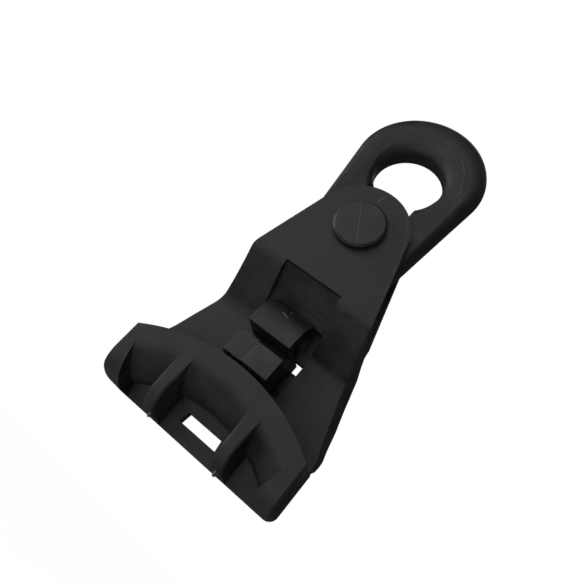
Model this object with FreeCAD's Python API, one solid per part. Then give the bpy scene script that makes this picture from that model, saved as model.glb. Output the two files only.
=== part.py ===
import FreeCAD, Part
import math
import os

"""Aerial cable suspension clamp: a moulded clamp body that hangs by a pin from an eye link.

All lengths are millimetres and +Z is up. The origin is the centre of the eye that hangs on the
hook, in the middle plane of the link. X runs along the cable and the front of the clamp faces -Y.
"""

# Running and seating clearances
pin_running_clearance = 0.05
pin_seat_clearance = 0.03
link_side_clearance = 0.5
keeper_side_clearance = 0.4
keeper_face_clearance = 0.4

# Suspension link: the eye and its tongue
eye_bore_radius = 17.3
eye_land_length = 4.0
eye_flare = 4.6
eye_outer_radius = 33.9
eye_crown_rise = 9.2
eye_face_radius = 26.6
eye_face_rise = 3.4
eye_shoulder_drop = 1.4
link_thickness = 15.0
link_foot_radius = 26.5
link_foot_face_radius = 24.2
throat_half_width = 11.4
throat_flare = 2.2
throat_floor_above_pin = 15.0
throat_corner_radius = 5.0
pin_drop = 41.0

# Pivot pin
pin_radius = 8.0
pin_head_radius = 12.5
pin_head_height = 3.6
pin_head_edge = 1.0
pin_collar_radius = 9.6
pin_collar_length = 3.0
pin_collar_taper = 1.4
pin_slot_width = 2.2
pin_slot_depth = 9.0

# Clamp body: ears, joggled front wall and rear wall
ear_radius = 23.4
ear_wall = 4.8
ear_front_y = -12.9
joggle_wall = 6.5
wall_thickness = 5.0
wall_front_y = 12.5
joggle_top_below_pin = 36.0
joggle_foot_below_pin = 58.9
ear_half_width_at_joggle = 32.3
boss_radius = 17.0
outer_bend_radius = 8.0
foot_bend_radius = 10.0
inner_bend_radius = 4.0

# Half widths of the body below the ears, each with its depth below the pin
flank = [(36.2, 57.5), (38.0, 64.0), (41.7, 75.0), (44.5, 84.0), (46.5, 90.0)]
trough_half_length = 47.5
flank_foot_below_pin = 96.0
body_bottom_below_pin = 122.5
bottom_corner_radius = 4.5

# Recess above the window, and the window the keeper slides in
recess_half_width = 15.5
recess_head_below_pin = 33.5
recess_step = 2.4
recess_band_height = 2.6
recess_band_lean = 1.9
window_left = 12.6
window_right = 16.3
window_head_below_pin = 62.0
window_sill_below_pin = 81.0
brow_below_pin = 47.2
brow_y = 4.3

# Curved cable trough
trough_bend_radius = 90.0
lip_crown_below_pin = 83.8
lip_front_y = -9.5
lip_thickness = 3.6
nose_round_radius = 12.0

# Groove section: distance behind the lip's inner edge with the depth below the lip
groove_front = [(0.0, 0.0), (3.3, 5.2), (6.4, 9.7), (9.1, 15.0)]
groove_floor = (11.4, 16.4)
groove_rear = [(13.7, 15.0), (14.5, 8.0), (16.3, 4.0), (18.1, 0.0)]
groove_headroom = 6.0

# Underside of the trough: distance behind the lip's front with the depth below the lip
barrel_under = [(0.0, 8.0), (0.8, 10.5), (3.0, 13.0), (8.0, 16.8), (14.0, 19.6), (22.0, 20.7)]

# Ribs and pockets under the trough
rib_inner_x = 16.4
rib_outer_x = 22.8
end_block_x_top = 41.8
end_block_x_bottom = 36.8
end_block_top_below_pin = 105.0
slot_half_width = 10.6
slot_end_lean = 0.8
slot_head_below_pin = 110.0
slot_foot_below_pin = 115.4

# Side webs that close the joggle's flanks, and the rim that stiffens both edges at the rear
web_thickness = 3.4
web_head_below_pin = 38.0
rim_depth = 6.0
rim_head_below_pin = 40.0
rim_foot_below_pin = 97.0
rim_slope = 9.0

# Stiffening arcs and keeper rails behind the rear wall
rear_arc_height = 3.0
rear_arc_depth = 4.0
rail_width = 2.5
rail_head_below_pin = 63.0
rail_foot_below_pin = 99.0

# Cable keeper
keeper_travel = 11.0
keeper_nose_half_width = 11.5
keeper_jaw_half_width = 12.0
nose_bulge_radius = 10.7
nose_bulge_y = 3.2
nose_bulge_below_pin = 58.2
nose_underside_below_pin = 65.0
neck_head_below_pin = 62.5
nose_wall = 2.5
nose_core_depth = 4.5
keeper_back_y = 12.0
keeper_waist = 3.2
jaw_head_below_pin = 69.9
jaw_foot_below_pin = 82.2
jaw_front_y = -4.9
jaw_bevel = 1.1
jaw_step = 0.4
jaw_step_x = -2.0
jaw_left_head_below_pin = 67.6
neck_half_width = 11.5
neck_inset = 0.2
flange_half_width = 17.8
flange_thickness = 2.7
flange_head_below_pin = 66.5
flange_foot_below_pin = 84.0
tooth_pitch = 3.4
tooth_depth = 0.9
tooth_count = 6

pin_z = -pin_drop
wall_rear_y = wall_front_y + wall_thickness
ear_inner_y = ear_front_y + ear_wall
bend_axis_z = pin_z - lip_crown_below_pin - trough_bend_radius
body_bottom_z = pin_z - body_bottom_below_pin
lip_inner_y = lip_front_y + lip_thickness
reach = 200.0


def vec(x, y, z):
    return FreeCAD.Vector(x, y, z)


def face_of(edges):
    return Part.Face(Part.Wire(edges))


def loop_edges(points):
    """Straight edges round a closed loop of points."""
    edges = []
    for i in range(len(points)):
        edges.append(Part.LineSegment(points[i], points[(i + 1) % len(points)]).toShape())
    return edges


def spline_edge(points):
    curve = Part.BSplineCurve()
    curve.interpolate(points)
    return curve.toShape()


def rounded_edges(corners):
    """Edges round a closed loop of (point, radius) corners, with an arc where the radius isn't zero."""
    count = len(corners)
    starts = []
    ends = []
    arcs = []
    for i in range(count):
        point, radius = corners[i]
        before = (corners[i - 1][0] - point).normalize()
        after = (corners[(i + 1) % count][0] - point).normalize()
        half_angle = 0.5 * before.getAngle(after)
        reach_back = radius / math.tan(half_angle)
        start = point + before * reach_back
        end = point + after * reach_back
        middle = point + (before + after).normalize() * (radius / math.sin(half_angle) - radius)
        starts.append(start)
        ends.append(end)
        arcs.append(Part.Arc(start, middle, end).toShape() if radius > 0 else None)
    edges = []
    for i in range(count):
        if arcs[i]:
            edges.append(arcs[i])
        edges.append(Part.LineSegment(ends[i], starts[(i + 1) % count]).toShape())
    return edges


def side_prism(outline, x_start, x_end):
    """Solid whose (y, z) or (y, z, corner radius) outline runs straight across X."""
    corners = [(vec(x_start, c[0], c[1]), c[2] if len(c) > 2 else 0.0) for c in outline]
    return face_of(rounded_edges(corners)).extrude(vec(x_end - x_start, 0, 0))


def front_prism(outline, y_start, y_end):
    """Solid whose (x, z) outline runs straight back between two Y planes."""
    points = [vec(x, y_start, z) for x, z in outline]
    return face_of(loop_edges(points)).extrude(vec(0, y_end - y_start, 0))


def block(x0, x1, y0, y1, z0, z1):
    return Part.makeBox(x1 - x0, y1 - y0, z1 - z0, vec(x0, y0, z0))


def rod(radius, y_start, y_end, z):
    return Part.makeCylinder(radius, y_end - y_start, vec(0, y_start, z), vec(0, 1, 0))


def mirrored(shape):
    return shape.mirror(vec(0, 0, 0), vec(1, 0, 0))


def tangent_point(radius, centre_z, x, z):
    """Touching point on a circle, on the +X side, of the line that ends at (x, z)."""
    drop = z - centre_z
    distance = math.hypot(x, drop)
    angle = math.atan2(drop, x) + math.acos(radius / distance)
    return radius * math.cos(angle), centre_z + radius * math.sin(angle)


def teardrop_wire(top_radius, top_z, foot_radius, foot_z, y):
    """Closed outline round two circles of different size and the two lines that touch both."""
    lean = math.asin((top_radius - foot_radius) / (top_z - foot_z))
    top_x = top_radius * math.cos(lean)
    top_touch = top_z - top_radius * math.sin(lean)
    foot_x = foot_radius * math.cos(lean)
    foot_touch = foot_z - foot_radius * math.sin(lean)
    crown = vec(0, y, top_z + top_radius)
    foot = vec(0, y, foot_z - foot_radius)
    edges = [
        Part.Arc(vec(top_x, y, top_touch), crown, vec(-top_x, y, top_touch)).toShape(),
        Part.LineSegment(vec(-top_x, y, top_touch), vec(-foot_x, y, foot_touch)).toShape(),
        Part.Arc(vec(-foot_x, y, foot_touch), foot, vec(foot_x, y, foot_touch)).toShape(),
        Part.LineSegment(vec(foot_x, y, foot_touch), vec(top_x, y, top_touch)).toShape(),
    ]
    return Part.Wire(edges)


def throat_wire(half_width, floor_z, y):
    """Slot outline from the eye's centre down to a floor with rounded corners."""
    radius = throat_corner_radius
    half_turn = math.sqrt(0.5)
    right_mid = vec(half_width - radius + radius * half_turn, y, floor_z + radius - radius * half_turn)
    left_mid = vec(-right_mid.x, y, right_mid.z)
    right_up = vec(half_width, y, floor_z + radius)
    right_low = vec(half_width - radius, y, floor_z)
    left_low = vec(radius - half_width, y, floor_z)
    left_up = vec(-half_width, y, floor_z + radius)
    edges = [
        Part.LineSegment(vec(-half_width, y, 0), vec(half_width, y, 0)).toShape(),
        Part.LineSegment(vec(half_width, y, 0), right_up).toShape(),
        Part.Arc(right_up, right_mid, right_low).toShape(),
        Part.LineSegment(right_low, left_low).toShape(),
        Part.Arc(left_low, left_mid, left_up).toShape(),
        Part.LineSegment(left_up, vec(-half_width, y, 0)).toShape(),
    ]
    return Part.Wire(edges)


def link_half(side):
    """One half of the link's outside, from the parting plane to the face on the given side."""
    half = 0.5 * link_thickness
    sections = [
        (eye_outer_radius, eye_crown_rise, link_foot_radius, 0.0),
        (eye_outer_radius - eye_shoulder_drop, eye_crown_rise - 0.6, link_foot_radius - 0.3, 0.56 * half),
        (0.5 * (eye_outer_radius + eye_face_radius) + 0.6, 0.5 * (eye_crown_rise + eye_face_rise) + 0.6,
         link_foot_radius - 1.1, 0.86 * half),
        (eye_face_radius, eye_face_rise, link_foot_face_radius, half),
    ]
    wires = [teardrop_wire(r, rise, foot, pin_z, side * y) for r, rise, foot, y in sections]
    return Part.makeLoft(wires, True, False)


def eye_cutter():
    """Bore with a short straight land and a bell mouth on each face."""
    half = 0.5 * link_thickness
    land = 0.5 * eye_land_length
    mouth = eye_bore_radius + eye_flare
    bow = vec(eye_bore_radius + 0.32 * eye_flare, land + 0.66 * (half - land), 0)
    back_bow = vec(bow.x, -bow.y, 0)
    edges = [
        Part.LineSegment(vec(0, -half, 0), vec(mouth, -half, 0)).toShape(),
        Part.Arc(vec(mouth, -half, 0), back_bow, vec(eye_bore_radius, -land, 0)).toShape(),
        Part.LineSegment(vec(eye_bore_radius, -land, 0), vec(eye_bore_radius, land, 0)).toShape(),
        Part.Arc(vec(eye_bore_radius, land, 0), bow, vec(mouth, half, 0)).toShape(),
        Part.LineSegment(vec(mouth, half, 0), vec(0, half, 0)).toShape(),
        Part.LineSegment(vec(0, half, 0), vec(0, -half, 0)).toShape(),
    ]
    return face_of(edges).revolve(vec(0, 0, 0), vec(0, 1, 0), 360)


def throat_cutter():
    """Slot that opens the eye toward the pin, straight at the land and flared at both faces."""
    half = 0.5 * link_thickness
    land = 0.5 * eye_land_length
    floor_z = pin_z + throat_floor_above_pin
    inner = throat_wire(throat_half_width, floor_z, -land)
    straight = Part.Face(inner).extrude(vec(0, eye_land_length, 0))
    solid = straight
    for side in (-1.0, 1.0):
        near = throat_wire(throat_half_width, floor_z, side * land)
        far = throat_wire(throat_half_width + throat_flare, floor_z - 0.5 * throat_flare, side * half)
        solid = solid.fuse(Part.makeLoft([near, far], True, True))
    return solid


def suspension_link():
    """The eye link, one moulding: eye, throat, tongue and the hole the pin turns in."""
    solid = link_half(-1.0).fuse(link_half(1.0))
    solid = solid.cut(eye_cutter())
    solid = solid.cut(throat_cutter())
    hole = rod(pin_radius + pin_running_clearance, -link_thickness, link_thickness, pin_z)
    return solid.cut(hole).removeSplitter()


def pivot_pin():
    """Flat-headed pin with a split snap collar behind the rear ear."""
    end_y = wall_rear_y + pin_collar_length
    outline = [
        (0.0, ear_front_y - pin_head_height),
        (pin_head_radius - pin_head_edge, ear_front_y - pin_head_height),
        (pin_head_radius, ear_front_y - pin_head_height + pin_head_edge),
        (pin_head_radius, ear_front_y),
        (pin_radius, ear_front_y),
        (pin_radius, wall_rear_y),
        (pin_collar_radius, wall_rear_y),
        (pin_collar_radius, end_y - pin_collar_taper),
        (pin_radius - 0.5, end_y),
        (0.0, end_y),
    ]
    points = [vec(x, y, pin_z) for x, y in outline]
    solid = face_of(loop_edges(points)).revolve(vec(0, 0, pin_z), vec(0, 1, 0), 360)
    slot = block(-0.5 * pin_slot_width, 0.5 * pin_slot_width, end_y - pin_slot_depth, end_y + 1.0,
                 pin_z - pin_collar_radius - 1.0, pin_z + pin_collar_radius + 1.0)
    return solid.cut(slot)


def body_outline(inset):
    """Front outline of the body: round ear, tapering sides, flared flanks, square trough.

    The sides lie the inset closer to the middle than the body's own edge.
    """
    hip_z = pin_z - joggle_top_below_pin
    hip_x = ear_half_width_at_joggle - inset
    touch_x, touch_z = tangent_point(ear_radius - inset, pin_z, hip_x, hip_z)
    end_x = trough_half_length - inset
    flank_points = [vec(hip_x, 0, hip_z)]
    flank_points += [vec(x - inset, 0, pin_z - depth) for x, depth in flank]
    flank_points.append(vec(end_x, 0, pin_z - flank_foot_below_pin))
    corner_z = body_bottom_z + bottom_corner_radius
    corner_x = end_x - bottom_corner_radius
    bulge = bottom_corner_radius * math.sqrt(0.5)
    right = [
        Part.LineSegment(vec(touch_x, 0, touch_z), flank_points[0]).toShape(),
        spline_edge(flank_points),
        Part.LineSegment(flank_points[-1], vec(end_x, 0, corner_z)).toShape(),
        Part.Arc(vec(end_x, 0, corner_z), vec(corner_x + bulge, 0, corner_z - bulge),
                 vec(corner_x, 0, body_bottom_z)).toShape(),
    ]
    left = [mirrored(edge) for edge in reversed(right)]
    top = vec(0, 0, pin_z + ear_radius - inset)
    crown = Part.Arc(vec(-touch_x, 0, touch_z), top, vec(touch_x, 0, touch_z))
    base = Part.LineSegment(vec(corner_x, 0, body_bottom_z), vec(-corner_x, 0, body_bottom_z))
    wire = Part.Wire(Part.__sortEdges__([crown.toShape()] + right + [base.toShape()] + left))
    face = Part.Face(wire)
    face.translate(vec(0, -reach, 0))
    return face.extrude(vec(0, 2.0 * reach, 0))


def joggle_slope():
    """Unit direction of the joggled front wall, running back and down."""
    run = wall_front_y - ear_front_y
    fall = joggle_foot_below_pin - joggle_top_below_pin
    length = math.hypot(run, fall)
    return run / length, -fall / length


def joggle_line(depth, y):
    """Height of the plane that lies the given depth behind the front of the joggled wall."""
    run, fall = joggle_slope()
    start_y = ear_front_y - fall * depth
    start_z = pin_z - joggle_top_below_pin + run * depth
    return start_z + (y - start_y) * fall / run


def front_wall():
    """Front ear and the wall that steps back from it to the rear wall."""
    overlap = 2.0
    top = pin_z + ear_radius + 1.0
    tail = pin_z - joggle_foot_below_pin - foot_bend_radius
    outline = [
        (ear_front_y, top),
        (ear_front_y, pin_z - joggle_top_below_pin, outer_bend_radius),
        (wall_front_y, pin_z - joggle_foot_below_pin, foot_bend_radius),
        (wall_front_y, tail),
        (wall_front_y + overlap, tail),
        (wall_front_y + overlap, joggle_line(joggle_wall, wall_front_y + overlap)),
        (ear_inner_y, joggle_line(joggle_wall, ear_inner_y), inner_bend_radius),
        (ear_inner_y, top),
    ]
    return side_prism(outline, -60.0, 60.0)


def edge_stiffeners():
    """Side webs between the joggle and the rear wall, and the rim behind each edge of the body."""
    middle_depth = 0.5 * joggle_wall
    web_top = pin_z - web_head_below_pin
    run, fall = joggle_slope()
    front_y = ear_front_y - fall * middle_depth
    front_y += (web_top - (pin_z - joggle_top_below_pin + run * middle_depth)) * run / fall
    back_y = wall_front_y + 1.0
    web = [(front_y, web_top), (back_y, web_top), (back_y, joggle_line(middle_depth, back_y))]
    rim_y = wall_rear_y + rim_depth
    root_y = wall_rear_y - 1.0
    head = pin_z - rim_head_below_pin
    foot = pin_z - rim_foot_below_pin
    rim = [
        (root_y, head),
        (wall_rear_y, head),
        (rim_y, head - rim_slope, 6.0),
        (rim_y, foot + rim_slope, 6.0),
        (wall_rear_y, foot),
        (root_y, foot),
    ]
    inner = body_outline(web_thickness)
    return side_prism(web, -60.0, 60.0).cut(inner).fuse(side_prism(rim, -60.0, 60.0).cut(inner))


def bend_solid(section):
    """Sweep a (y, height above the bend axis) section round the trough's bend axis."""
    points = [vec(0, y, bend_axis_z + r) for y, r in section]
    face = face_of(loop_edges(points))
    face.rotate(vec(0, 0, bend_axis_z), vec(0, 1, 0), -45)
    return face.revolve(vec(0, 0, bend_axis_z), vec(0, 1, 0), 90)


def groove_solid():
    """The curved groove the cable lies in, open upward."""
    lip_r = trough_bend_radius
    section = [(lip_inner_y, lip_r + groove_headroom)]
    section += [(lip_inner_y + back, lip_r - depth) for back, depth in groove_front]
    section.append((lip_inner_y + groove_floor[0], lip_r - groove_floor[1]))
    section += [(lip_inner_y + back, lip_r - depth) for back, depth in groove_rear]
    section.append((lip_inner_y + groove_rear[-1][0], lip_r + groove_headroom))
    return bend_solid(section)


def barrel_solid():
    """Everything of the trough above its curved underside."""
    lip_r = trough_bend_radius
    under = [vec(0, lip_front_y + back, bend_axis_z + lip_r - depth) for back, depth in barrel_under]
    top_r = bend_axis_z + lip_r + groove_headroom
    front_y = lip_front_y - 4.0
    top_front = vec(0, front_y, top_r)
    top_back = vec(0, under[-1].y, top_r)
    low_front = vec(0, front_y, under[0].z)
    edges = [
        Part.LineSegment(top_front, low_front).toShape(),
        Part.LineSegment(low_front, under[0]).toShape(),
        spline_edge(under),
        Part.LineSegment(under[-1], top_back).toShape(),
        Part.LineSegment(top_back, top_front).toShape(),
    ]
    face = face_of(edges)
    face.rotate(vec(0, 0, bend_axis_z), vec(0, 1, 0), -45)
    return face.revolve(vec(0, 0, bend_axis_z), vec(0, 1, 0), 90)


def trough_block():
    """Lower block with the bulging front, before the groove and the pockets are taken out."""
    top_z = pin_z - lip_crown_below_pin
    round_z = body_bottom_z + nose_round_radius
    bulge = nose_round_radius * math.sqrt(0.5)
    centre_y = lip_front_y + nose_round_radius
    back_y = wall_front_y + 1.0
    start = vec(-60.0, lip_front_y, round_z)
    middle = vec(-60.0, centre_y - bulge, round_z - bulge)
    end = vec(-60.0, centre_y, body_bottom_z)
    edges = [
        Part.LineSegment(vec(-60.0, lip_front_y, top_z), start).toShape(),
        Part.Arc(start, middle, end).toShape(),
        Part.LineSegment(end, vec(-60.0, back_y, body_bottom_z)).toShape(),
        Part.LineSegment(vec(-60.0, back_y, body_bottom_z), vec(-60.0, back_y, top_z)).toShape(),
        Part.LineSegment(vec(-60.0, back_y, top_z), vec(-60.0, lip_front_y, top_z)).toShape(),
    ]
    envelope = face_of(edges).extrude(vec(120.0, 0, 0))
    crown = rod(trough_bend_radius, lip_front_y - 1.0, wall_front_y + 2.0, bend_axis_z)
    return envelope.common(crown)


def pocket_cutters():
    """The middle pocket and the two outer pockets under the trough, open to front and below."""
    front_y = lip_front_y - 5.0
    head_z = pin_z - lip_crown_below_pin
    foot_z = body_bottom_z - 1.0
    block_z = pin_z - end_block_top_below_pin
    middle = block(-rib_inner_x, rib_inner_x, front_y, wall_front_y, foot_z, head_z)
    outline = [
        (rib_outer_x, foot_z),
        (rib_outer_x, head_z),
        (end_block_x_top, head_z),
        (end_block_x_top, block_z),
        (end_block_x_bottom, foot_z),
    ]
    outer = front_prism(outline, front_y, wall_front_y)
    barrel = barrel_solid()
    return [shape.cut(barrel) for shape in (middle, outer, mirrored(outer))]


def window_cutter():
    """Recess in the joggled wall, open window below it, and the window through the rear wall."""
    front_y = ear_front_y - 5.0
    head_z = pin_z - recess_head_below_pin
    recess = [
        (front_y, head_z),
        (ear_front_y + recess_step, head_z - 0.3),
        (brow_y - recess_band_lean, pin_z - brow_below_pin + recess_band_height),
        (brow_y, pin_z - brow_below_pin),
        (brow_y, pin_z - joggle_foot_below_pin - 3.0),
        (front_y, pin_z - joggle_foot_below_pin - 3.0),
    ]
    opening = [
        (front_y, pin_z - brow_below_pin),
        (wall_front_y, pin_z - brow_below_pin),
        (wall_front_y, pin_z - window_sill_below_pin),
        (front_y, pin_z - window_sill_below_pin),
    ]
    wall = block(-window_left, window_right, wall_front_y - 1.0, wall_rear_y + 1.0,
                 pin_z - window_sill_below_pin, pin_z - window_head_below_pin)
    upper = side_prism(recess, -recess_half_width, recess_half_width)
    return upper.fuse(side_prism(opening, -window_left, window_right)).fuse(wall)


def tie_slot_cutter():
    """Slot through the web for a cable tie, with ends that lean a little."""
    head = pin_z - slot_head_below_pin
    foot = pin_z - slot_foot_below_pin
    outline = [
        (-slot_half_width, foot),
        (slot_half_width, foot),
        (slot_half_width - slot_end_lean, head),
        (slot_end_lean - slot_half_width, head),
    ]
    return front_prism(outline, wall_front_y - 4.0, wall_rear_y + 4.0)


def rear_features():
    """Stiffening arcs behind the trough and the two rails that guide the keeper's flange."""
    y0 = wall_rear_y - 0.5
    y1 = wall_rear_y + rear_arc_height
    outer_r = trough_bend_radius
    arc = bend_solid([(y0, outer_r - rear_arc_depth), (y1, outer_r - rear_arc_depth), (y1, outer_r), (y0, outer_r)])
    rail_inner = flange_half_width + keeper_side_clearance
    keep = block(rail_inner, 60.0, y0 - 1.0, y1 + 1.0, body_bottom_z, pin_z)
    arcs = arc.common(keep)
    rail = block(rail_inner, rail_inner + rail_width, y0, y1,
                 pin_z - rail_foot_below_pin, pin_z - rail_head_below_pin)
    right = arcs.fuse(rail)
    return right.fuse(mirrored(right))


def jaw_pocket():
    """Upright pocket in the front wall of the groove that takes the keeper's jaw as it comes down."""
    half = keeper_jaw_half_width + keeper_side_clearance
    foot = jaw_foot_below_pin + keeper_travel + keeper_face_clearance
    return block(-half, half, jaw_front_y - keeper_face_clearance, wall_front_y - 0.2,
                 pin_z - foot, pin_z - lip_crown_below_pin + groove_headroom)


def clamp_body():
    """The body, one moulding."""
    rear_wall = block(-60.0, 60.0, wall_front_y, wall_rear_y, body_bottom_z, pin_z + ear_radius + 1.0)
    solid = front_wall().fuse(rear_wall).fuse(trough_block()).fuse(rear_features()).fuse(edge_stiffeners())
    solid = solid.common(body_outline(0.0))
    boss_y = 0.5 * link_thickness + link_side_clearance
    solid = solid.fuse(rod(boss_radius, boss_y, wall_front_y + 1.0, pin_z))
    solid = solid.cut(groove_solid())
    for cutter in pocket_cutters():
        solid = solid.cut(cutter)
    solid = solid.cut(window_cutter())
    solid = solid.cut(jaw_pocket())
    solid = solid.cut(tie_slot_cutter())
    solid = solid.cut(rod(pin_radius + pin_seat_clearance, -reach, reach, pin_z))
    return solid.removeSplitter()


def nose_solid():
    """Bulging grip above the jaw, with a round front and cored sides."""
    half = keeper_nose_half_width
    centre_z = pin_z - nose_bulge_below_pin
    under_z = pin_z - nose_underside_below_pin
    bulge = Part.makeCylinder(nose_bulge_radius, 2.0 * half, vec(-half, nose_bulge_y, centre_z), vec(1, 0, 0))
    keep = block(-half, half, nose_bulge_y - nose_bulge_radius - 1.0, keeper_back_y,
                 under_z, centre_z + nose_bulge_radius + 1.0)
    back = block(-half, half, nose_bulge_y, keeper_back_y, under_z, centre_z)
    solid = bulge.common(keep).fuse(back)
    core_r = nose_bulge_radius - nose_wall
    for side in (-1.0, 1.0):
        start = side * half if side < 0 else half - nose_core_depth
        core = Part.makeCylinder(core_r, nose_core_depth, vec(start, nose_bulge_y, centre_z), vec(1, 0, 0))
        limit = block(start, start + nose_core_depth, nose_bulge_y - nose_bulge_radius, nose_bulge_y + core_r,
                      under_z + nose_wall, centre_z + core_r)
        solid = solid.cut(core.common(limit))
    return solid


def jaw_solid():
    """Block that presses on the cable, bevelled at its lower front edge and toothed below."""
    half = keeper_jaw_half_width
    head = pin_z - jaw_head_below_pin
    foot = pin_z - jaw_foot_below_pin
    outline = [
        (jaw_front_y, head),
        (keeper_back_y, head),
        (keeper_back_y, foot),
        (jaw_front_y + jaw_bevel, foot),
        (jaw_front_y, foot + jaw_bevel),
    ]
    solid = side_prism(outline, -half, half)
    left_head = block(-half, jaw_step_x, jaw_front_y, keeper_back_y, head - 1.0, pin_z - jaw_left_head_below_pin)
    solid = solid.fuse(left_head)
    step = block(-half - 1.0, jaw_step_x, jaw_front_y - 1.0, jaw_front_y + jaw_step, foot - 1.0, head + 4.0)
    solid = solid.cut(step)
    first = -0.5 * tooth_pitch * (tooth_count - 1)
    for i in range(tooth_count):
        x = first + i * tooth_pitch
        notch = [
            (x - 0.5 * tooth_pitch + 0.5, foot - 0.01),
            (x + 0.5 * tooth_pitch - 0.5, foot - 0.01),
            (x, foot + tooth_depth),
        ]
        solid = solid.cut(front_prism(notch, jaw_front_y - 1.0, keeper_back_y + 1.0))
    return solid


def cable_keeper():
    """The sliding keeper, one moulding: nose, jaw, neck through the window and rear flange."""
    flange_y = wall_rear_y + keeper_face_clearance
    under_z = pin_z - nose_underside_below_pin
    head_z = pin_z - jaw_head_below_pin
    waist = block(-keeper_nose_half_width, keeper_nose_half_width, keeper_back_y - keeper_waist, keeper_back_y,
                  head_z - 1.0, under_z + 1.0)
    neck = block(-neck_half_width, neck_half_width, keeper_back_y - 1.0, flange_y + 1.0,
                 head_z + neck_inset, pin_z - neck_head_below_pin)
    flange = block(-flange_half_width, flange_half_width, flange_y, flange_y + flange_thickness,
                   pin_z - flange_foot_below_pin, pin_z - flange_head_below_pin)
    return nose_solid().fuse(jaw_solid()).fuse(waist).fuse(neck).fuse(flange).removeSplitter()


os.makedirs("parts", exist_ok=True)
pieces = {
    "clamp_body": clamp_body(),
    "suspension_link": suspension_link(),
    "pivot_pin": pivot_pin(),
    "cable_keeper": cable_keeper(),
}
for node, shape in pieces.items():
    shape.exportStep("parts/" + node + ".step")
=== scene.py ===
import bpy
import bmesh
import math
import numpy as np
from mathutils import Matrix, Vector


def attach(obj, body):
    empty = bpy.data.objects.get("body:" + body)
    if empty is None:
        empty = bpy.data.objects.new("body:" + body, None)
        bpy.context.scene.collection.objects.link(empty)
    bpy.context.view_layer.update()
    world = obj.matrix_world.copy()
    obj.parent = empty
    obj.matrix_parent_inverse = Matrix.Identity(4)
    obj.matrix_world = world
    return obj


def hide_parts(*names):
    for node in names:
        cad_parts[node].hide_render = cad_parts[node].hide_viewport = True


# Aerial cable suspension clamp in black moulded plastic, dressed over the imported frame.
# Blender's lengths are metres in the row frame: origin at the centre of the link's eye, X along the
# cable, front towards -Y, +Z up. The clamp's own sizes, below, and the names in _mm are millimetres.
# The camera's place, the floor and the lamps are metres.

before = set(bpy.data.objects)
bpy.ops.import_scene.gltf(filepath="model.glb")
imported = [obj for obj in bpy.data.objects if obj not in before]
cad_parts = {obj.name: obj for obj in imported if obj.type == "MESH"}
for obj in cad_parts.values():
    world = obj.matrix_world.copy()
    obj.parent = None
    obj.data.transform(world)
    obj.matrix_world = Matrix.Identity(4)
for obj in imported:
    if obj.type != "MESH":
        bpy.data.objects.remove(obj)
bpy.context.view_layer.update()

MM = 0.001

# The camera that the photograph was taken from, worked out from the object's own edges
CAMERA_PLACE = (0.08324, -0.25198, -0.17085)
CAMERA_RIGHT = (0.7683, 0.0487, 0.63823)
CAMERA_DOWN = (0.54252, 0.4796, -0.68967)
CAMERA_AHEAD = (-0.33968, 0.87613, 0.34205)
FOCAL_PIXELS = 612.95
PHOTO_WIDTH = 587.0
SENSOR_WIDTH = 36.0
OPTICAL_CENTRE_Y = 270.0
NEAREST_SEEN = 0.01
FARTHEST_SEEN = 20.0

# Studio: dim white surround, pale floor well below the clamp, and the spot the lamps point at
WORLD_LIGHT = 0.06
FLOOR_COLOUR = "#f2f2f2"
FLOOR_ROUGHNESS = 0.9
FLOOR_LIFT = 0.93
FLOOR_HALF = 6.0
FLOOR_Z = -0.9
LAMP_TARGET = (0, 0, -0.06)
WHITE = (1.0, 1.0, 1.0, 1.0)

# Moulded plastic: size of its flow clouds, and how much clouds and grain change its look
CLOUD_SIZE = 11.0
CLOUD_DETAIL = 5.0
CLOUD_BAND = (0.4, 0.66)
SHEEN_BAND = (0.35, 0.65)
SHEEN_SWING = 0.09
NOISE_ROUGHNESS = 0.6
GRAIN_DETAIL = 3.0
GRAIN_HEIGHT = 0.06
GRAIN_STRENGTH = 0.25
PLASTIC_IOR = 1.53
SEED_SPREAD = (1.0, 0.37, 0.61)

# Sockets of Blender's mix node that hold its two colours and give their mix
MIX_FIRST = 6
MIX_SECOND = 7
MIX_RESULT = 2

# Joining of a node's mesh, the angles in degrees that part flat, sharp and smooth, and its bevels
SEAM_GAP = 0.002
FLAT_ANGLE = 0.5
SHARP_ANGLE = 32.0
PIECE_SMOOTH_ANGLE = 30.0
MARK_SMOOTH_ANGLE = 50.0
EDGE_SEGMENTS = 2
ROLL_SEGMENTS = 4
# Slot of the paler black that the rounded edges take, a painted highlight along them
EDGE_HIGHLIGHT_SLOT = 1

# Depth of the pin's axis below the eye's centre, which the depths below are counted from
PIN_DROP = 41.0

# How near a point stands to a named place to count as being on it
ON_PLACE = 0.05

# The body's edge, from the ear's top to the foot: depth below the pin, packed half width, share of
# the lean that it takes behind the wall, and what is added to its half width
BODY_EDGE = (
    (-23.4, 0.0, 0.0, 0.0),
    (0.0, 23.4, 0.0, 0.0),
    (36.0, 32.3, 0.4, 1.2),
    (57.5, 36.2, 1.0, 0.1),
    (64.0, 38.0, 1.0, 0.0),
    (75.0, 41.7, 0.9, -0.2),
    (84.0, 44.5, 0.7, -0.3),
    (90.0, 46.5, 0.55, 0.0),
    (96.0, 47.5, 0.4, 0.0),
    (122.5, 47.5, 0.4, 0.0),
)
EDGE_DEPTHS, EDGE_HALF_WIDTHS, LEAN_SHARES, EDGE_GAINS = zip(*BODY_EDGE)
REAR_LEAN = 3.2
EDGE_BAND = 4.2
LEAN_START = 14.0
RIM_REAR = 23.5

# The outer ends of the rear arcs: where they are found, and the half width they are drawn in to
ARC_FRONT = 17.6
ARC_END_SIDE = 46.9
ARC_END_DEPTH = 95.0
ARC_END_DRAWN = 47.4

# The two ribs under the trough: their sides, the depth below which and the y in front of which
# their outer edges lie, how sharp these are, and how far they are rolled
RIB_SIDES = (16.4, 22.8)
RIB_TOP_DEPTH = 84.0
RIB_REAR = 8.0
RIB_EDGE_ANGLE = 35.0
RIB_ROLL = 1.5

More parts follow.
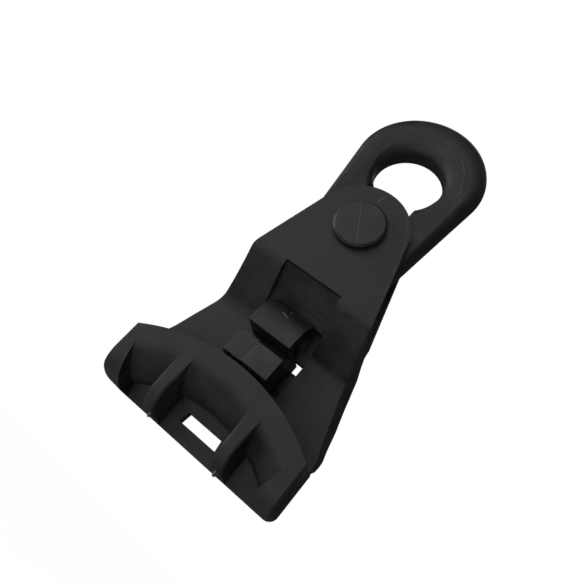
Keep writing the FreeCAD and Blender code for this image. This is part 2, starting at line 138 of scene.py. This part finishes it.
# The keeper's nose: its packed arc, and the quarter oval from its top to its foot
NOSE_CENTRE = (3.2, 58.2)
NOSE_RADIUS = 10.7
NOSE_ARC_BAND = 0.15
NOSE_TOP = 47.7
NOSE_SHOULDER = 62.6
NOSE_BACK = 3.0
NOSE_FRONT = -8.0
NOSE_FOOT = 65.0
NOSE_FOOT_BACK = -4.0

# The keeper's neck and left jaw: where they are packed, and where they are moved to
NECK_FRONT = 12.4
NECK_SIDE = 11.5
NECK_SIDE_FULL = 12.2
JAW_HEAD = 67.6
JAW_HEAD_LOW = 69.3

# The eye's bell mouth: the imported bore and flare, the mouth's growth and rise, and the throat's fade
BORE_RADIUS = 17.3
FLARE_WIDTH = 4.6
FLARE_BAND = (17.25, 22.2)
LAND_HALF = 1.9
MOUTH_GROWTH = 2.9
MOUTH_RISE = 2.8
THROAT_Z = -14.0
THROAT_FADE = 8.0

# Fine ridges: corners round them, share that is sunk, size of their tips, one part in how many of
# the length that tapers at either end, pixels between rings, and passes that steady them
RING_CORNERS = 8
RIDGE_SINK = 0.3
RIDGE_TIP = 0.15
TAPER_PARTS = 5.0
RIDGE_STEP = 1.2
LEAST_RINGS = 6
PATH_PASSES = 2
NORMAL_PASSES = 3
LEAST_LENGTH = 1e-12

# Marks that the mould and handling left: path in the photograph's pixels, width and height in mm
EAR_RIM_LINE = ([(406, 212), (408, 222), (406, 238), (399, 262), (387, 290), (380, 305)], 0.35, 0.14)
SILL_LINE = ([(299, 308), (311, 318), (324, 328)], 0.34, 0.14)
UPPER_SILL_LINE = ([(303, 303), (314, 312), (326, 322)], 0.2, 0.08)
RECESS_LEFT_EDGE = ([(286, 258.5), (279, 270), (273.5, 281), (269.5, 291)], 0.26, 0.12)
SLOT_CORNER_LINE = ([(176, 402), (183, 408), (190, 414)], 0.5, 0.2)
EAR_SCUFF = ([(377, 203), (381, 200), (386, 196)], 0.9, 0.08)
EAR_SCRATCH = ([(378, 252), (386, 247), (396, 242), (404, 243)], 0.35, 0.1)
WALL_FLECK = ([(326, 386), (328, 388), (330, 390)], 0.8, 0.1)
PIN_HEAD_LINE = ([(362, 200), (359.5, 222), (357, 245)], 0.4, 0.16)
EYE_LINE = ([(352, 165), (359, 153), (368, 143), (384, 132), (408, 128), (432, 133), (450, 145),
             (462, 159), (465, 173), (462, 188), (453, 203), (444, 217)], 0.45, 0.18)
EYE_LINE_FOOT = ([(333, 190), (342, 177), (351, 166)], 0.4, 0.16)
LEG_LINE = ([(474, 206), (450, 229), (425, 252), (403, 272)], 0.4, 0.16)
NOSE_FLASH = ([(282.5, 312), (285, 314), (286, 317), (288.5, 319)], 0.6, 0.4)
NOSE_FLECK = ([(291, 312.5), (292, 314)], 0.5, 0.3)
JAW_EDGE_FLASH = ([(267, 349), (272, 352), (277, 355)], 0.4, 0.25)
JAW_CORNER_FLASH = ([(257, 347), (260, 345), (262, 343)], 0.7, 0.4)

# Scraps of flash under the ribs: x, z of the foot and width of each, then what they share
RIB_SCRAPS = ((-16.9, -164.6, 1.6), (20.6, -164.8, 1.8))
SCRAP_Y = -2.6
SCRAP_TOP = -161.6
SCRAP_BEND = (0.4, -0.5)
SCRAP_THICKNESS = 0.35
SCRAP_RINGS = 8

# Round marks of the ejectors on the link's front face: x and z of each, then what they share
EJECTOR_MARKS = ((-21.6, 8.9), (22.9, 7.1))
EJECTOR_RADIUS = 2.2
EJECTOR_LINE = (0.35, 0.12)
EJECTOR_RINGS = 33
LINK_FRONT = -7.5

# Ray casting: slack at a triangle's edge, least divisor, and the reach that stands for a miss
EDGE_SLACK = 1e-6
LEAST_DIVISOR = 1e-14
MISSED = 9.0


def linear(hex_colour):
    """sRGB hex colour to the linear values that Blender's sockets take."""
    channels = [int(hex_colour[i:i + 2], 16) / 255.0 for i in (1, 3, 5)]
    red, green, blue = [c / 12.92 if c <= 0.04045 else ((c + 0.055) / 1.055) ** 2.4 for c in channels]
    return (red, green, blue, 1.0)


def add_node(tree, kind, settings=None, links=None):
    """Adds one shader node, sets its properties or sockets, and links other nodes' sockets to it."""
    node = tree.nodes.new(kind)
    for name, value in (settings or {}).items():
        if isinstance(name, str) and hasattr(node, name):
            setattr(node, name, value)
        else:
            node.inputs[name].default_value = value
    for name, source in (links or {}).items():
        tree.links.new(source, node.inputs[name])
    return node


def add_noise(tree, vector, size_mm, detail):
    """Noise whose blotches are about this size."""
    settings = {"Scale": 1.0 / (size_mm * MM), "Detail": detail, "Roughness": NOISE_ROUGHNESS}
    return add_node(tree, "ShaderNodeTexNoise", settings, {"Vector": vector}).outputs["Fac"]


def add_range(tree, value, source_band, low, high):
    """Value stretched from a band of its own to the range from low to high."""
    settings = {"From Min": source_band[0], "From Max": source_band[1], "To Min": low, "To Max": high}
    return add_node(tree, "ShaderNodeMapRange", settings, {"Value": value}).outputs["Result"]


def moulded_plastic(name, deep_hex, pale_hex, roughness, grain_mm, seed):
    """Weatherproof black nylon or polypropylene, injection moulded in a fine-eroded mould.

    It reads as a soft, slightly milky black: broad dull highlights, a very fine grain and faint
    cloudy flow colour.
    """
    material = bpy.data.materials.new(name)
    material.use_nodes = True
    tree = material.node_tree
    tree.nodes.clear()
    place = add_node(tree, "ShaderNodeTexCoord")
    shift = add_node(tree, "ShaderNodeMapping", {"Location": [seed * share for share in SEED_SPREAD]},
                     {"Vector": place.outputs["Object"]})
    cloud = add_noise(tree, shift.outputs["Vector"], CLOUD_SIZE, CLOUD_DETAIL)
    grain = add_noise(tree, shift.outputs["Vector"], grain_mm, GRAIN_DETAIL)
    base = add_node(tree, "ShaderNodeMix",
                    {"data_type": "RGBA", MIX_FIRST: linear(deep_hex), MIX_SECOND: linear(pale_hex)},
                    {"Factor": add_range(tree, cloud, CLOUD_BAND, 0.0, 1.0)})
    rough = add_range(tree, cloud, SHEEN_BAND, roughness - SHEEN_SWING, roughness + SHEEN_SWING)
    bump = add_node(tree, "ShaderNodeBump", {"Strength": GRAIN_STRENGTH, "Distance": GRAIN_HEIGHT * MM},
                    {"Height": grain})
    shader = add_node(tree, "ShaderNodeBsdfPrincipled", {"IOR": PLASTIC_IOR},
                      {"Base Color": base.outputs[MIX_RESULT], "Roughness": rough,
                       "Normal": bump.outputs["Normal"]})
    add_node(tree, "ShaderNodeOutputMaterial", None, {"Surface": shader.outputs["BSDF"]})
    return material


def add_object(name, data):
    """New object with this name, linked into the scene."""
    thing = bpy.data.objects.new(name, data)
    bpy.context.collection.objects.link(thing)
    return thing


def mesh_points(mesh):
    """A mesh's vertices as rows of x, y, z."""
    flat = np.empty(3 * len(mesh.vertices))
    mesh.vertices.foreach_get("co", flat)
    return flat.reshape(-1, 3)


def unit(vectors, slack=0.0):
    """Rows brought to length one; the slack saves a row of zeros from a division by zero."""
    return vectors / (np.linalg.norm(vectors, axis=1, keepdims=True) + slack)


def smooth_by_angle(piece, degrees):
    """Smooth shading, with every edge sharper than the angle kept crisp."""
    bpy.context.view_layer.objects.active = piece
    piece.select_set(True)
    bpy.ops.object.shade_smooth_by_angle(angle=math.radians(degrees))
    piece.select_set(False)


def drafted_body(points):
    """Draft on the body's edges, which the mould gives them behind the wall.

    Points are in mm. Near the outline, sideways shift = side * (gain(depth) + lean * share(depth) *
    how far back the point is from where the lean starts to the rim's rear). The rear arcs' ends are
    drawn in to just inside the body's sides.
    """
    depth = -points[:, 2] - PIN_DROP
    half = np.interp(depth, EDGE_DEPTHS, EDGE_HALF_WIDTHS)
    share = np.interp(depth, EDGE_DEPTHS, LEAN_SHARES)
    gain = np.interp(depth, EDGE_DEPTHS, EDGE_GAINS)
    back = np.clip((points[:, 1] - LEAN_START) / (RIM_REAR - LEAN_START), 0.0, 1.0)
    side = np.sign(points[:, 0])
    out = np.abs(points[:, 0])
    near = (out > half - EDGE_BAND) & (depth > 0.0)
    arc_end = (points[:, 1] > ARC_FRONT) & (out > ARC_END_SIDE) & (depth > ARC_END_DEPTH)
    points[:, 0] += np.where(near, side * (gain + REAR_LEAN * share * back), 0.0)
    points[:, 0] = np.where(arc_end, side * ARC_END_DRAWN, points[:, 0])
    return points


def rounded_keeper(points):
    """The nose's face follows a quarter oval, the neck fills the window, the left jaw stands lower.

    Points are in mm. On the nose's face, y = back - (back - front) * sqrt(1 - ((shoulder - depth) /
    (shoulder - top))^2) above the shoulder, and the front below it.
    """
    depth = -points[:, 2] - PIN_DROP
    radius = np.hypot(points[:, 1] - NOSE_CENTRE[0], depth - NOSE_CENTRE[1])
    face = (np.abs(radius - NOSE_RADIUS) < NOSE_ARC_BAND) & (points[:, 1] < NOSE_BACK)
    rise = np.clip((NOSE_SHOULDER - depth) / (NOSE_SHOULDER - NOSE_TOP), 0.0, 1.0)
    oval = NOSE_BACK - (NOSE_BACK - NOSE_FRONT) * np.sqrt(1.0 - rise ** 2)
    foot = (np.abs(depth - NOSE_FOOT) < 2.0 * ON_PLACE) & (points[:, 1] < NOSE_FOOT_BACK)
    neck = (np.abs(np.abs(points[:, 0]) - NECK_SIDE) < ON_PLACE) & (points[:, 1] > NECK_FRONT)
    left_head = np.abs(depth - JAW_HEAD) < ON_PLACE
    points[:, 1] = np.where(face, oval, points[:, 1])
    points[:, 1] = np.where(foot, NOSE_FRONT, points[:, 1])
    points[:, 0] = np.where(neck, np.sign(points[:, 0]) * NECK_SIDE_FULL, points[:, 0])
    points[:, 2] = np.where(left_head, -PIN_DROP - JAW_HEAD_LOW, points[:, 2])
    return points


def belled_link(points):
    """The eye's mouth is a smaller circle that stands higher than the bore.

    Points are in mm. With t from 0 at the bore to 1 at the mouth, radius = bore + growth * t and the
    centre rises by rise * t, fading out towards the throat.
    """
    radius = np.hypot(points[:, 0], points[:, 2])
    t = np.clip((radius - BORE_RADIUS) / FLARE_WIDTH, 0.0, 1.0)
    on_flare = (radius > FLARE_BAND[0]) & (radius < FLARE_BAND[1]) & (np.abs(points[:, 1]) > LAND_HALF)
    fade = np.clip((points[:, 2] - THROAT_Z) / THROAT_FADE, 0.0, 1.0)
    scale = np.where(on_flare, 1.0 + fade * ((BORE_RADIUS + MOUTH_GROWTH * t) / radius - 1.0), 1.0)
    points[:, 0] *= scale
    points[:, 2] = points[:, 2] * scale + np.where(on_flare, fade * MOUTH_RISE * t, 0.0)
    return points


def as_built(points):
    """The pin keeps the shape it is packed with."""
    return points


def is_rib_edge(edge):
    """True for the two ribs' own sharp outer edges, which bound their sides in front of the web."""
    places = [vert.co / MM for vert in edge.verts]
    on_side = any(all(abs(abs(place.x) - side) < ON_PLACE for place in places) for side in RIB_SIDES)
    low = all(-place.z - PIN_DROP > RIB_TOP_DEPTH and place.y < RIB_REAR for place in places)
    return on_side and low and edge.is_convex and edge.calc_face_angle(0.0) > math.radians(RIB_EDGE_ANGLE)


def joined_mesh(source, name, has_ribs):
    """Copy of a node's mesh with its seams joined and its flat faces merged.

    The body also has its rib edges marked for rolling and is cut where its edges start to lean.
    """
    mesh = source.copy()
    mesh.name = name
    shell = bmesh.new()
    shell.from_mesh(mesh)
    bmesh.ops.remove_doubles(shell, verts=shell.verts, dist=SEAM_GAP * MM)
    bmesh.ops.dissolve_limit(shell, angle_limit=math.radians(FLAT_ANGLE), verts=shell.verts,
                             edges=shell.edges)
    if has_ribs:
        weight = shell.edges.layers.float.new("bevel_weight_edge")
        for edge in shell.edges:
            edge[weight] = float(is_rib_edge(edge))
        everything = shell.verts[:] + shell.edges[:] + shell.faces[:]
        bmesh.ops.bisect_plane(shell, geom=everything, plane_co=(0, LEAN_START * MM, 0), plane_no=(0, 1, 0))
    shell.to_mesh(mesh)
    shell.free()
    return mesh


def add_bevel(piece, name, width_mm, segments, limit_method):
    """Bevel on the edges that the limit method picks."""
    bevel = piece.modifiers.new(name, "BEVEL")
    bevel.width = width_mm * MM
    bevel.segments = segments
    bevel.limit_method = limit_method
    return bevel


def dressed_copy(node, body, materials, name, reshape, edge_mm, has_ribs=False):
    """Joined copy of a CAD node which stands for it, its sharp edges rounded and paler with a painted
    highlight.
    """
    mesh = joined_mesh(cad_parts[node].data, name, has_ribs)
    moved = reshape(mesh_points(mesh) / MM) * MM
    mesh.vertices.foreach_set("co", moved.ravel())
    mesh.update()
    mesh.materials.clear()
    for material in materials:
        mesh.materials.append(material)
    piece = add_object(name, mesh)
    if has_ribs:
        roll = add_bevel(piece, "rolled_ribs", RIB_ROLL, ROLL_SEGMENTS, "WEIGHT")
        roll.use_clamp_overlap = False
    edge_round = add_bevel(piece, "edge_round", edge_mm, EDGE_SEGMENTS, "ANGLE")
    # The rounded edges get the paler black: a painted highlight along every sharp edge
    edge_round.material = EDGE_HIGHLIGHT_SLOT
    edge_round.angle_limit = math.radians(SHARP_ANGLE)
    smooth_by_angle(piece, PIECE_SMOOTH_ANGLE)
    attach(piece, body)
    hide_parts(node)
    return piece


def seen_on(carrier, pixels):
    """Points of a piece that the camera sees at these places of the photograph, with its normals.

    Each ray is met with every triangle at once: t = e2 . q / (e1 . p), with p = d x e2, s = o - v0
    and q = s x e1, and the nearest triangle that the ray passes inside is kept.
    """
    mesh = carrier.data
    mesh.calc_loop_triangles()
    faces = np.empty(3 * len(mesh.loop_triangles), dtype=np.int64)
    mesh.loop_triangles.foreach_get("vertices", faces)
    v0, v1, v2 = mesh_points(mesh)[faces.reshape(-1, 3)].transpose(1, 0, 2)
    e1 = v1 - v0
    e2 = v2 - v0
    across = (pixels[:, :1] - 0.5 * PHOTO_WIDTH) / FOCAL_PIXELS
    down = (pixels[:, 1:] - OPTICAL_CENTRE_Y) / FOCAL_PIXELS
    rays = unit(np.array(CAMERA_AHEAD) + across * np.array(CAMERA_RIGHT) + down * np.array(CAMERA_DOWN))
    p = np.cross(rays[:, None, :], e2[None, :, :])
    s = np.array(CAMERA_PLACE) - v0
    q = np.cross(s, e1)
    det = np.einsum("rtk,tk->rt", p, e1)
    det = np.where(np.abs(det) < LEAST_DIVISOR, LEAST_DIVISOR, det)
    u = np.einsum("rtk,tk->rt", p, s) / det
    v = np.einsum("rk,tk->rt", rays, q) / det
    t = np.einsum("tk,tk->t", e2, q)[None, :] / det
    inside = (u >= -EDGE_SLACK) & (v >= -EDGE_SLACK) & (u + v <= 1.0 + EDGE_SLACK)
    t = np.where(inside & (t > NEAREST_SEEN), t, MISSED)
    nearest = np.argmin(t, axis=1)
    reach = t[np.arange(len(rays)), nearest]
    kept = reach < MISSED
    normals = unit(np.cross(e1, e2)[nearest])
    normals *= -np.sign(np.sum(normals * rays, axis=1, keepdims=True))
    points = np.array(CAMERA_PLACE) + rays * reach[:, None]
    return points[kept], normals[kept]


def steady(values, passes):
    """Each value moved to the mean of itself and its neighbours, the ends kept."""
    for _ in range(passes):
        inner = (values[:-2] + values[1:-1] + values[2:]) / 3.0
        values = np.vstack((values[:1], inner, values[-1:]))
    return values


def ridge(path, normals, width_mm, height_mm, taper=True):
    """Fine ridge along a path: rings of an ellipse carried along it.

    Point = path + cos(a) * width / 2 * side + (sin(a) - sink) * height * normal, with a round the
    ring and side = direction x normal. The ring shrinks as sin at the last fifth of either end.
    """
    ahead = unit(np.gradient(path, axis=0), LEAST_LENGTH)
    side = unit(np.cross(ahead, normals), LEAST_LENGTH)
    along = np.linspace(0.0, 1.0, len(path))
    ends = np.clip(TAPER_PARTS * np.minimum(along, 1.0 - along), 0.0, 1.0)
    size = RIDGE_TIP + (1.0 - RIDGE_TIP) * np.sin(0.5 * math.pi * ends) if taper else np.ones(len(path))
    angle = np.arange(RING_CORNERS) * 2.0 * math.pi / RING_CORNERS
    wide = np.cos(angle)[None, :, None] * 0.5 * width_mm * MM * size[:, None, None] * side[:, None, :]
    lift = (np.sin(angle) - RIDGE_SINK)[None, :, None]
    tall = lift * height_mm * MM * size[:, None, None] * normals[:, None, :]
    points = (path[:, None, :] + wide + tall).reshape(-1, 3)
    ring, spot = np.meshgrid(np.arange(len(path) - 1), np.arange(RING_CORNERS), indexing="ij")
    here = RING_CORNERS * ring + spot
    turned = RING_CORNERS * ring + (spot + 1) % RING_CORNERS
    quads = np.stack((here, turned, turned + RING_CORNERS, here + RING_CORNERS), axis=-1)
    faces = [tuple(quad) for quad in quads.reshape(-1, 4).tolist()]
    faces += [tuple(range(RING_CORNERS)), tuple(reversed(range(len(points) - RING_CORNERS, len(points))))]
    return points, faces


def ridge_on(carrier, pixels, width_mm, height_mm):
    """Ridge along straight runs between places of the photograph, laid on the piece seen there."""
    spots = np.array(pixels, dtype=float)
    run = np.concatenate(([0.0], np.cumsum(np.linalg.norm(np.diff(spots, axis=0), axis=1))))
    steps = np.linspace(0.0, run[-1], max(LEAST_RINGS, int(run[-1] / RIDGE_STEP)))
    dense = np.stack((np.interp(steps, run, spots[:, 0]), np.interp(steps, run, spots[:, 1])), axis=1)
    path, normals = seen_on(carrier, steady(dense, PATH_PASSES))
    normals = unit(steady(normals, NORMAL_PASSES))
    return ridge(steady(path, PATH_PASSES), normals, width_mm, height_mm)


def mould_marks(name, body, material, ridges):
    """One piece of all the fine ridges that ride on a body."""
    points = []
    faces = []
    for ridge_points, ridge_faces in ridges:
        faces += [tuple(corner + len(points) for corner in face) for face in ridge_faces]
        points += ridge_points.tolist()
    mesh = bpy.data.meshes.new(name)
    mesh.from_pydata(points, [], faces)
    shell = bmesh.new()
    shell.from_mesh(mesh)
    bmesh.ops.recalc_face_normals(shell, faces=shell.faces)
    shell.to_mesh(mesh)
    shell.free()
    mesh.materials.append(material)
    piece = add_object(name, mesh)
    smooth_by_angle(piece, MARK_SMOOTH_ANGLE)
    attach(piece, body)


def front_ridge(x_mm, y_mm, z_mm, width_mm, height_mm, taper):
    """Ridge along a path given in mm, standing up from a face that looks to the front."""
    path = np.stack((x_mm, y_mm, z_mm), axis=1)
    return ridge(path * MM, np.tile((0.0, -1.0, 0.0), (len(path), 1)), width_mm, height_mm, taper)


def ring_mark(x_mm, z_mm):
    """Round mark that an ejector leaves on the link's front face."""
    turn = np.linspace(0.0, 2.0 * math.pi, EJECTOR_RINGS)
    return front_ridge(x_mm + EJECTOR_RADIUS * np.cos(turn), np.full_like(turn, LINK_FRONT),
                       z_mm + EJECTOR_RADIUS * np.sin(turn), *EJECTOR_LINE, False)


def flash_nub(x_mm, foot_mm, width_mm):
    """Scrap of flash that hangs from a rib's foot, bending a little to the right and the front."""
    drop = np.linspace(0.0, 1.0, SCRAP_RINGS)
    return front_ridge(x_mm + SCRAP_BEND[0] * drop ** 2, SCRAP_Y + SCRAP_BEND[1] * drop,
                       SCRAP_TOP + (foot_mm - SCRAP_TOP) * drop, width_mm, SCRAP_THICKNESS * width_mm, True)


def soft_light(name, place, size, watts):
    """Softbox that points at the clamp."""
    light = bpy.data.lights.new(name, "AREA")
    light.shape = "RECTANGLE"
    light.size = size[0]
    light.size_y = size[1]
    light.energy = watts
    lamp = add_object(name, light)
    lamp.location = place
    lamp.rotation_euler = (Vector(LAMP_TARGET) - Vector(place)).to_track_quat("-Z", "Y").to_euler()


def photo_camera():
    """Camera at the photograph's place, turned and rolled as the photograph is."""
    data = bpy.data.cameras.new("photo_camera")
    data.sensor_width = SENSOR_WIDTH
    data.lens = FOCAL_PIXELS / PHOTO_WIDTH * SENSOR_WIDTH
    data.shift_y = (OPTICAL_CENTRE_Y - 0.5 * PHOTO_WIDTH) / PHOTO_WIDTH
    data.clip_start = NEAREST_SEEN
    data.clip_end = FARTHEST_SEEN
    camera = add_object("photo_camera", data)
    right = Vector(CAMERA_RIGHT).normalized()
    up = -Vector(CAMERA_DOWN)
    up = (up - right * up.dot(right)).normalized()
    turn = Matrix((right, up, right.cross(up))).transposed().to_4x4()
    camera.matrix_world = Matrix.Translation(Vector(CAMERA_PLACE)) @ turn
    bpy.context.scene.camera = camera


def studio_strength(tree, dim, bright):
    """Strength that is dim as light and bright to the camera and to see-through pieces."""
    path = add_node(tree, "ShaderNodeLightPath")
    seen = add_node(tree, "ShaderNodeMath", {"operation": "MAXIMUM"},
                    {0: path.outputs["Is Camera Ray"], 1: path.outputs["Is Transmission Ray"]})
    return add_range(tree, seen.outputs["Value"], (0.0, 1.0), dim, bright)


def pale_floor():
    """Wide pale floor well below the hanging clamp, a little lifted to the camera alone."""
    corners = [(x * FLOOR_HALF, y * FLOOR_HALF, FLOOR_Z) for x, y in ((-1, -1), (1, -1), (1, 1), (-1, 1))]
    mesh = bpy.data.meshes.new("floor")
    mesh.from_pydata(corners, [], [(0, 1, 2, 3)])
    floor = add_object("floor", mesh)
    paint = bpy.data.materials.new("pale_studio_floor")
    paint.use_nodes = True
    shader = paint.node_tree.nodes["Principled BSDF"]
    shader.inputs["Base Color"].default_value = linear(FLOOR_COLOUR)
    shader.inputs["Roughness"].default_value = FLOOR_ROUGHNESS
    shader.inputs["Emission Color"].default_value = WHITE
    lift = studio_strength(paint.node_tree, 0.0, FLOOR_LIFT)
    paint.node_tree.links.new(lift, shader.inputs["Emission Strength"])
    mesh.materials.append(paint)


def white_world():
    """Even white surround: pure white to the camera, dim as light."""
    world = bpy.data.worlds.new("studio")
    bpy.context.scene.world = world
    world.use_nodes = True
    tree = world.node_tree
    tree.nodes.clear()
    back = add_node(tree, "ShaderNodeBackground", {"Color": WHITE},
                    {"Strength": studio_strength(tree, WORLD_LIGHT, 1.0)})
    add_node(tree, "ShaderNodeOutputWorld", None, {"Surface": back.outputs["Background"]})


# Materials: the carbon-black polyamide of each moulding, a paler black for its edges and fine marks, and
# its thin, paler flash
body_plastic = moulded_plastic("black_polyamide_body", "#060606", "#262626",
                               roughness=0.62, grain_mm=0.35, seed=1.7)
link_plastic = moulded_plastic("black_polyamide_link", "#080808", "#1f1f1f",
                               roughness=0.6, grain_mm=0.35, seed=4.1)
pin_plastic = moulded_plastic("black_polyamide_pin", "#0c0c0c", "#181818",
                              roughness=0.56, grain_mm=0.3, seed=7.3)
keeper_plastic = moulded_plastic("black_polyamide_keeper", "#060606", "#0e0e0e",
                                 roughness=0.55, grain_mm=0.3, seed=9.9)
# Paler black: painted highlight on the rounded edges and raised lines, and real wear on the scuffs,
# scratches and flecks
highlight_and_wear_paint = moulded_plastic("black_edge_highlight_and_wear", "#181818", "#444444",
                              roughness=0.45, grain_mm=0.5, seed=3.3)
flash_plastic = moulded_plastic("thin_grey_flash", "#2c2c2c", "#5e5e5e",
                                roughness=0.45, grain_mm=0.4, seed=5.2)

# The four mouldings, each standing for its CAD node
body = dressed_copy("clamp_body", "clamp", (body_plastic, highlight_and_wear_paint),
                    "moulded_body", drafted_body, edge_mm=0.5, has_ribs=True)
link = dressed_copy("suspension_link", "link", (link_plastic, highlight_and_wear_paint),
                    "moulded_link", belled_link, edge_mm=0.5)
pin = dressed_copy("pivot_pin", "clamp", (pin_plastic, highlight_and_wear_paint),
                   "moulded_pin", as_built, edge_mm=0.3)
keeper = dressed_copy("cable_keeper", "keeper", (keeper_plastic, highlight_and_wear_paint),
                      "moulded_keeper", rounded_keeper, edge_mm=0.3)

# The fine marks, one piece for each moulding. The paler black of the body's, pin's and link's marks is
# painted highlight along the raised lines and ejector rings, and real wear on the scuff, scratch, fleck and
# flash scraps
mould_marks("ear_mould_lines", "clamp", highlight_and_wear_paint, [
    ridge_on(body, *EAR_RIM_LINE),
    ridge_on(body, *SILL_LINE),
    ridge_on(body, *RECESS_LEFT_EDGE),
    ridge_on(body, *UPPER_SILL_LINE),
    ridge_on(body, *SLOT_CORNER_LINE),
    ridge_on(body, *EAR_SCUFF),
    ridge_on(body, *EAR_SCRATCH),
    ridge_on(body, *WALL_FLECK),
    *[flash_nub(*scrap) for scrap in RIB_SCRAPS],
])
mould_marks("pin_mould_line", "clamp", highlight_and_wear_paint, [
    ridge_on(pin, *PIN_HEAD_LINE),
])
mould_marks("eye_mould_lines", "link", highlight_and_wear_paint, [
    ridge_on(link, *EYE_LINE),
    ridge_on(link, *EYE_LINE_FOOT),
    ridge_on(link, *LEG_LINE),
    *[ring_mark(*place) for place in EJECTOR_MARKS],
])
mould_marks("keeper_flash", "keeper", flash_plastic, [
    ridge_on(keeper, *NOSE_FLASH),
    ridge_on(keeper, *NOSE_FLECK),
    ridge_on(keeper, *JAW_EDGE_FLASH),
    ridge_on(keeper, *JAW_CORNER_FLASH),
])

# Camera, floor, surround and lamps
photo_camera()
pale_floor()
white_world()
soft_light("low_front_softbox", place=(0.1, -1.1, -0.8), size=(0.9, 0.9), watts=5.9)
soft_light("left_softbox", place=(-1.1, -0.3, 0.0), size=(0.7, 0.7), watts=6.0)
soft_light("high_front_softbox", place=(-0.35, -0.85, 0.35), size=(0.9, 0.9), watts=3.3)
soft_light("rear_top_softbox", place=(-0.1, 0.5, 0.8), size=(0.6, 0.4), watts=1.2)
soft_light("right_softbox", place=(1.0, -0.5, 0.1), size=(0.7, 0.7), watts=0.6)

bpy.context.scene.view_settings.view_transform = "Standard"
